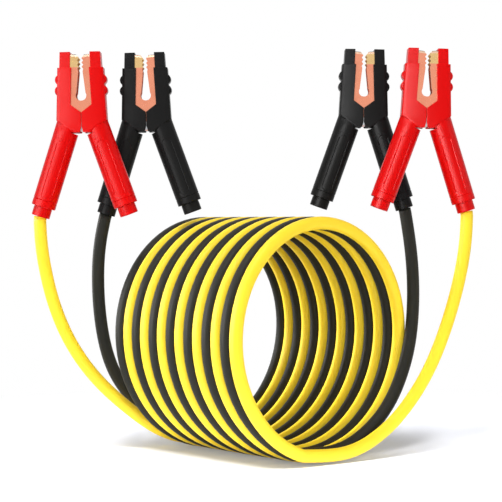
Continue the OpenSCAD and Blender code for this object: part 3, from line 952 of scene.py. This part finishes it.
def springLine():
    top = 90 - spring["drop"]
    sweepAngle = 360 * spring["curls"] + 180 - 2 * top
    half = spring["pitch"] * sweepAngle / 720
    steps = round(sweepAngle * spring["ringsPerCurl"] / 360)

    def point(angle, y, run):
        a = math.radians(angle)
        out = Vector((math.cos(a), 0, math.sin(a)))
        along = Vector((math.sin(a), 0, -math.cos(a)))
        return spring["radius"] * out + Vector((0, y, 0)) + run * along

    legs = [spring["leg"] * (1 - i / spring["legSteps"]) for i in range(spring["legSteps"])]
    line = [point(180 - top, half, -run) for run in legs]
    line += [point(180 - top - k * sweepAngle / steps, half - 2 * half * k / steps, 0)
             for k in range(steps + 1)]
    line += [point(top, -half, run) for run in reversed(legs)]
    return line, half


springPath, springHalf = springLine()
springWire = sweep("spring_wire", springPath, spring["wire"], spring["sides"])
print("spring coiled")


def addClamp(name):
    clamp = clamps[name]
    shade = name.split("_")[0]
    where = clampPlace(name)
    freeBody = name + "_free_half"

    def put(label, source, body, finish, slot, *nodes):
        mesh = source.copy()
        mesh.transform(where if body == freeBody else where @ halfTurn)
        dressed = [name + "_" + node for node in nodes]
        return setPiece(name + "_" + label, mesh, body, finishes[finish], slot, *dressed)

    put("cable_cover", cableCover, "cable_set", shade, shade + "_plastic", "cable_grip")
    put("cable_collar", cableCollar, "cable_set", shade, shade + "_plastic", "cable_bush")
    put("outer_jaw", outerJaw, "cable_set", "copper", "copper_plate", "cable_jaw")
    put("brass_tip", brassPlate, "cable_set", "brass", "brass_plate", "contact_plate")
    put("free_cover", freeCover, freeBody, shade, shade + "_plastic", "free_grip")
    put("end_cap", endCap, freeBody, shade, shade + "_plastic", "end_plug")
    put("inner_jaw", innerJaw, freeBody, "copper", "copper_plate", "free_jaw")

    wire = springWire.copy()
    wire.transform(where)
    coiled = setPiece(name + "_spring_wire", wire, None, finishes["steel"], "zinc_steel", name + "_spring")
    where @ Vector((0, -springHalf, 0))
    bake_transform(coiled)

    kept = {"pivot_pin": "steel", "crimp_barrel": "copper", "conductor": "wire",
            "cable_end": clamp["cable"] + "Sheath"}
    for node, finish in kept.items():  # solids that show as they are, in the scene's finish
        materials = frame["nodes"][name + "_" + node].data.materials
        materials.clear()
        materials.append(finishes[finish])


for clampName in clamps:
    addClamp(clampName)
for template in (cableCover, freeCover, cableCollar, endCap, outerJaw, innerJaw, brassPlate, springWire):
    bpy.data.meshes.remove(template)
print("clamps placed")


stage = {
    "size": 14.0, "albedo": (0.72, 0.735, 0.79), "glow": 0.18, "worldLight": 0.29,
    "fadeFrom": 0.34, "fadeTo": 0.62, "fadeAt": (0.03, 0.0, 0.0),
}


def addFloor():
    half = stage["size"] / 2
    corners = [(-half, -half, 0), (half, -half, 0), (half, half, 0), (-half, half, 0)]
    mesh = bpy.data.meshes.new("floor")
    mesh.from_pydata(corners, [], [(0, 1, 2, 3)])
    paint = newMaterial("pale_floor")
    lit = paint.node("ShaderNodeBsdfDiffuse", {}, {"Color": stage["albedo"]})
    seen = paint.seen()
    glow = paint.white("ShaderNodeEmission", seen * stage["glow"])
    near = paint.node("ShaderNodeAddShader", {}, {0: lit, 1: glow})
    far = paint.white("ShaderNodeEmission", seen)
    apart = {0: paint.spot(), 1: stage["fadeAt"]}
    reach = paint.node("ShaderNodeVectorMath", {"operation": "DISTANCE"}, apart, "Value")
    away = paint.band(reach, stage["fadeFrom"], stage["fadeTo"])  # past the shadows it is plain white
    mesh.materials.append(paint.finish(paint.node("ShaderNodeMixShader", {}, {0: away, 1: near, 2: far})))
    floor = objectOf(mesh)


def addWorld():
    # Soft light all round; the camera and reflections see plain white
    world = bpy.data.worlds.new("studio")
    paint = Paint(world)
    dim = paint.white("ShaderNodeBackground", stage["worldLight"])
    bright = paint.white("ShaderNodeBackground", 1.0)
    mixed = paint.node("ShaderNodeMixShader", {}, {0: paint.seen(), 1: dim, 2: bright})
    paint.finish(mixed, "ShaderNodeOutputWorld")
    bpy.context.scene.world = world


# A matt lamp only lights surfaces, and a sheen lamp shows only as a reflection. Some shine on some
# pieces alone, which are given by a word in their names and by how the names end.
cables = ("", ("_cable",))
mouldings = ("_cover", "_collar", "_cap")
lamps = {
    "key": {"at": (-1.80, -1.20, 0.55), "to": (0, 0, 0.2), "size": (0.7, 1.0), "power": 19, "as": "matt"},
    "front": {"at": (-0.20, -2.40, 0.50), "to": (0, 0, 0.2), "size": (0.9, 0.9), "power": 17, "as": "matt"},
    "fill": {"at": (1.50, -1.30, 0.50), "to": (0, 0, 0.2), "size": (0.9, 0.9), "power": 9, "as": "matt"},
    "side": {"at": (1.75, -0.50, 0.40), "to": (0, 0, 0.2), "size": (0.3, 1.4), "power": 3.5},
    "top": {"at": (-0.25, -0.60, 1.50), "to": (0, 0, 0.0), "size": (0.5, 0.4), "power": 9.5},
    "ground": {"at": (-0.22, -1.05, 1.30), "to": (0, 0, 0.0), "size": (0.5, 0.5), "power": 42,
               "onto": ("", ("floor",)), "shadowsOf": cables},
    "rear": {"at": (-1.40, 1.20, 0.60), "to": (0, 0, 0.15), "size": (0.8, 1.0), "power": 68,
             "as": "matt", "onto": cables},
    "edge": {"at": (-1.70, 0.60, 0.45), "to": (0, 0, 0.15), "size": (0.8, 1.0), "power": 20, "onto": cables},
    "leftSheen": {"at": (-0.78, -0.58, 0.33), "to": (0, 0, 0.27), "size": (1.0, 0.62), "power": 16,
                  "as": "sheen", "onto": ("left", mouldings)},
    "rightSheen": {"at": (-0.38, -0.82, 0.32), "to": (0.13, 0, 0.25), "size": (0.62, 0.80), "power": 25,
                   "as": "sheen", "onto": ("right", mouldings)},
    "cableSheen": {"at": (-1.80, -0.90, 0.70), "to": (0, 0, 0.2), "size": (0.5, 1.4), "power": 60,
                   "as": "sheen", "onto": cables},
}


def gathered(label, word, endings):
    group = bpy.data.collections.new(label)
    for piece in bpy.context.scene.objects:
        if piece.type == "MESH" and word in piece.name and piece.name.endswith(endings):
            group.objects.link(piece)
    return group


def addLamps():
    for name, lamp in lamps.items():
        light = bpy.data.lights.new(name, "AREA")
        light.shape = "RECTANGLE"
        light.size, light.size_y = lamp["size"]
        light.energy = lamp["power"]
        made = bpy.data.objects.new(name, light)
        made.location = lamp["at"]
        aim = Vector(lamp["to"]) - made.location
        made.rotation_euler = aim.to_track_quat("-Z", "Y").to_euler()
        bpy.context.scene.collection.objects.link(made)
        if "as" in lamp:
            made.visible_glossy = lamp["as"] == "sheen"
            made.visible_diffuse = lamp["as"] == "matt"
        if "onto" in lamp:
            made.light_linking.receiver_collection = gathered(name + "_shown", *lamp["onto"])
        if "shadowsOf" in lamp:
            made.light_linking.blocker_collection = gathered(name + "_shading", *lamp["shadowsOf"])


addFloor()
addLamps()
addWorld()
bpy.context.scene.view_settings.view_transform = "Standard"
print("stage lit")
